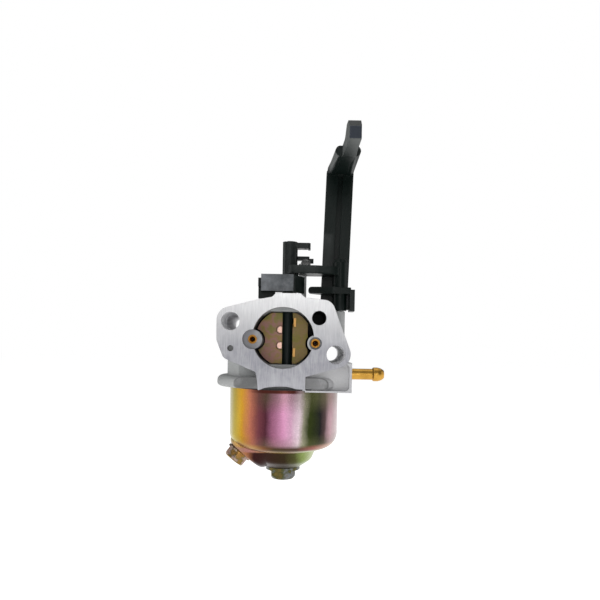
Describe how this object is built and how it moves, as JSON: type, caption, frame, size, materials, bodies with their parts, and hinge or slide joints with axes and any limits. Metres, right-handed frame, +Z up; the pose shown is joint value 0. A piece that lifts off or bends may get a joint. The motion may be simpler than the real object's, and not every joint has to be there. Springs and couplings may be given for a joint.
{
  "type": "carburetor",
  "caption": "Float carburetor for a small engine, with a choke plate closed by a tall black hand lever, a brass fuel barb and a round zinc-plated float bowl.",
  "frame": {"origin": "centre of the bore in the engine-side flange face, midway between the two stud holes", "axes": "+Z up, as mounted, -Y along the bore to the air cleaner, +Y to the engine, +X to the fuel inlet"},
  "size_m": [0.0694, 0.0679, 0.132],
  "materials": {
    "cast_aluminium": "satin",
    "yellow_zinc": "glossy",
    "black_plastic": "satin",
    "brass": "satin",
    "steel": "satin",
    "rubber": "matte"
  },
  "bodies": {
    "carburetor": {"carburetor_body": "cast_aluminium", "main_air_jet": "brass", "pilot_air_jet": "brass", "main_nozzle": "brass", "main_jet": "brass", "pilot_jet": "black_plastic", "pilot_screw_spring": "steel", "fuel_inlet_barb": "brass", "needle_seat": "brass", "float_pin": "steel", "float_bowl": "yellow_zinc", "throttle_stop_spring": "steel", "bowl_gasket": "rubber", "bowl_bolt_washer": "yellow_zinc", "bowl_bolt": "yellow_zinc", "drain_washer": "yellow_zinc", "drain_bolt": "yellow_zinc"},
    "choke_lever": {"choke_lever": "black_plastic", "choke_wire": "steel"},
    "choke": {"choke_shaft": "black_plastic", "choke_plate": "yellow_zinc"},
    "throttle": {"throttle_shaft": "steel", "throttle_plate": "brass", "throttle_plate_screw_upper": "steel", "throttle_plate_screw_lower": "steel", "throttle_lever": "black_plastic"},
    "stop_screw": {"throttle_stop_screw": "steel"},
    "mixture_screw": {"pilot_screw": "steel"},
    "float": {"float": "black_plastic"},
    "needle": {"float_needle": "steel"}
  },
  "joints": [
    {"name": "choke_lever_turn", "type": "hinge", "parent": "carburetor", "child": "choke_lever", "pos_m": [0.0225, -0.025, 0.02], "axis": [0, 0, 1], "range_deg": [0, 24]},
    {"name": "choke_turn", "type": "hinge", "parent": "carburetor", "child": "choke", "pos_m": [0.00135, -0.034, 0], "axis": [0, 0, 1], "range_deg": [-75, 0]},
    {"name": "throttle_turn", "type": "hinge", "parent": "carburetor", "child": "throttle", "pos_m": [0.0012, -0.01, 0], "axis": [0, 0, 1], "range_deg": [0, 75]},
    {"name": "stop_screw_turn", "type": "hinge", "parent": "carburetor", "child": "stop_screw", "pos_m": [0.0081, -0.018, 0.0323], "axis": [0, 1, 0], "range_deg": [-180, 180]},
    {"name": "mixture_screw_turn", "type": "hinge", "parent": "carburetor", "child": "mixture_screw", "pos_m": [-0.0096, -0.0085, 0.014], "axis": [0, 0, 1], "range_deg": [-180, 180]},
    {"name": "float_swing", "type": "hinge", "parent": "carburetor", "child": "float", "pos_m": [0.0182, -0.0215, -0.023], "axis": [0, 1, 0], "range_deg": [-4, 0]},
    {"name": "needle_lift", "type": "slide", "parent": "carburetor", "child": "needle", "axis": [0, 0, 1], "range_m": [-0.00045, 0]}
  ],
  "couplings": [
    {"joint": "choke_turn", "follows": "choke_lever_turn", "ratio": -3.125},
    {"joint": "needle_lift", "follows": "float_swing", "m_per_rad": 0.0058}
  ]
}
